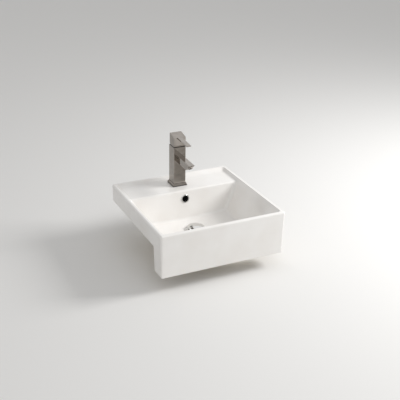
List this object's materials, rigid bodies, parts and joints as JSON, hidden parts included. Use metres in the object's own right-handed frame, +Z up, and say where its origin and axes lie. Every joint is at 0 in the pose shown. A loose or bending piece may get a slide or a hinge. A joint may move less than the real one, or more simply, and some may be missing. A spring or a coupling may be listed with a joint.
{
  "type": "semi-recessed washbasin",
  "caption": "Square semi-recessed ceramic washbasin with a deep front apron, a tap deck at the back, a square single-lever mixer tap and a domed press-to-close waste.",
  "frame": {"origin": "on the countertop plane, on the basin's centre line, in the plane of the apron's back face, which meets the counter's front edge", "axes": "+X to the user's right when standing at the basin, +Y to the wall, +Z up"},
  "size_m": [0.4666, 0.4626, 0.4005],
  "materials": {
    "vitreous_china": "glossy glaze",
    "chrome_plate": "polished",
    "raw_brass": "machined",
    "black_rubber": "matte",
    "stainless_steel": "bright drawn",
    "alumina_ceramic": "lapped",
    "acetal_plastic": "moulded",
    "abs_plastic": "moulded, gloss"
  },
  "bodies": {
    "fixed": {"basin": "vitreous_china", "overflow_ring": "chrome_plate", "waste_flange": "chrome_plate", "waste_top_seal": "black_rubber", "waste_tube": "raw_brass", "waste_bottom_seal": "black_rubber", "waste_slip_washer": "acetal_plastic", "waste_backnut": "raw_brass", "plug_barrel": "acetal_plastic", "plug_spider": "acetal_plastic", "plug_spring": "stainless_steel", "tap_base_gasket": "black_rubber", "tap_foot": "chrome_plate", "tap_body": "chrome_plate", "port_seal": "black_rubber", "cartridge_base": "acetal_plastic", "fixed_disc": "alumina_ceramic", "cartridge_housing": "acetal_plastic", "cartridge_nut": "raw_brass", "aerator_housing": "chrome_plate", "aerator_insert": "acetal_plastic", "aerator_seal": "black_rubber", "clamp_gasket": "black_rubber", "clamp_plate": "stainless_steel", "fixing_stud": "stainless_steel", "fixing_nut": "stainless_steel"},
    "turret": {"rotor": "acetal_plastic", "stem_pin": "stainless_steel"},
    "lever": {"handle": "chrome_plate", "stem": "raw_brass", "grub_screw": "stainless_steel", "screw_cap": "abs_plastic"},
    "disc_slider": {"moving_disc": "alumina_ceramic", "disc_carrier": "acetal_plastic"},
    "plug": {"plug_cap": "chrome_plate", "plug_seal": "black_rubber", "plug_stem": "raw_brass"}
  },
  "joints": [
    {"name": "lever_swing", "type": "hinge", "parent": "fixed", "child": "turret", "pos_m": [0, 0.328, 0.1945], "axis": [0, 0, 1], "range_deg": [-50, 50]},
    {"name": "lever_lift", "type": "hinge", "parent": "turret", "child": "lever", "pos_m": [0, 0.328, 0.1945], "axis": [-1, 0, 0], "range_deg": [0, 18]},
    {"name": "disc_slide", "type": "slide", "parent": "turret", "child": "disc_slider", "axis": [0, -1, 0], "range_m": [0, 0.0025]},
    {"name": "plug_press", "type": "slide", "parent": "fixed", "child": "plug", "axis": [0, 0, -1], "range_m": [0, 0.007], "stiffness_N_per_m": 400, "springref_m": -0.003, "deforming": ["plug_spring"]}
  ],
  "couplings": [
    {"joint": "disc_slide", "follows": "lever_lift", "m_per_rad": 0.00772}
  ]
}
